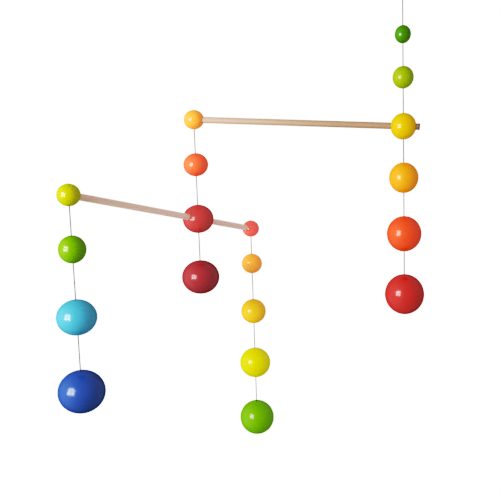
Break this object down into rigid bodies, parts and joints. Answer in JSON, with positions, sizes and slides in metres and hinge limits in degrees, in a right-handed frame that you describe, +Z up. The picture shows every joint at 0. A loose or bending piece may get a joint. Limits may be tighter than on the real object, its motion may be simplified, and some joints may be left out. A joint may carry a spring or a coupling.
{
  "type": "hanging baby mobile",
  "caption": "Hanging baby mobile: strands of painted wooden balls on threads, carried by two round wooden rods that turn on their threads.",
  "frame": {"origin": "top of the hanging loop, where a hook carries it", "axes": "+Z up along the main thread, the upper rod runs out along -X, and the front strand hangs towards -Y"},
  "size_m": [0.3184, 0.2756, 0.5095],
  "materials": {
    "lacquer_dark_green": "glossy dark green lacquer on a turned wooden ball",
    "lacquer_lime": "glossy lime yellow lacquer on a turned wooden ball",
    "lacquer_green": "glossy leaf green lacquer on a turned wooden ball",
    "lacquer_yellow": "glossy yellow lacquer on a turned wooden ball",
    "lacquer_amber": "glossy amber lacquer on a turned wooden ball",
    "lacquer_orange": "glossy orange lacquer on a turned wooden ball",
    "lacquer_coral": "glossy coral lacquer on a turned wooden ball",
    "lacquer_red": "glossy red lacquer on a turned wooden ball",
    "lacquer_crimson": "glossy crimson lacquer on a turned wooden ball",
    "lacquer_turquoise": "glossy turquoise lacquer on a turned wooden ball",
    "lacquer_blue": "glossy blue lacquer on a turned wooden ball",
    "beech": "plain sanded beech dowel, bare wood with fine lengthwise grain",
    "thread": "charcoal grey twisted thread"
  },
  "bodies": {
    "main_strand": {"main_thread": "thread", "main_ball_1_green": "lacquer_dark_green", "main_ball_2_lime": "lacquer_lime", "main_ball_4_amber": "lacquer_amber", "main_ball_5_orange": "lacquer_orange", "main_ball_6_red": "lacquer_red"},
    "upper_arm": {"main_ball_3_yellow": "lacquer_yellow", "upper_rod": "beech", "middle_thread": "thread", "middle_ball_1_amber": "lacquer_amber", "middle_ball_2_orange": "lacquer_orange", "middle_ball_4_crimson": "lacquer_crimson"},
    "lower_arm": {"middle_ball_3_red": "lacquer_red", "lower_rod": "beech", "front_thread": "thread", "front_ball_1_lime": "lacquer_lime", "front_ball_2_green": "lacquer_green", "front_ball_3_turquoise": "lacquer_turquoise", "front_ball_4_blue": "lacquer_blue", "back_thread": "thread", "back_ball_1_coral": "lacquer_coral", "back_ball_2_amber": "lacquer_amber", "back_ball_3_yellow": "lacquer_yellow", "back_ball_4_lime": "lacquer_lime", "back_ball_5_green": "lacquer_green"}
  },
  "joints": [
    {"name": "upper_arm_turn", "type": "hinge", "parent": "main_strand", "child": "upper_arm", "pos_m": [0, 0, -0.1543], "axis": [0, 0, 1], "continuous": true},
    {"name": "lower_arm_turn", "type": "hinge", "parent": "upper_arm", "child": "lower_arm", "pos_m": [-0.212, 0, -0.24082], "axis": [0, 0, 1], "continuous": true}
  ]
}
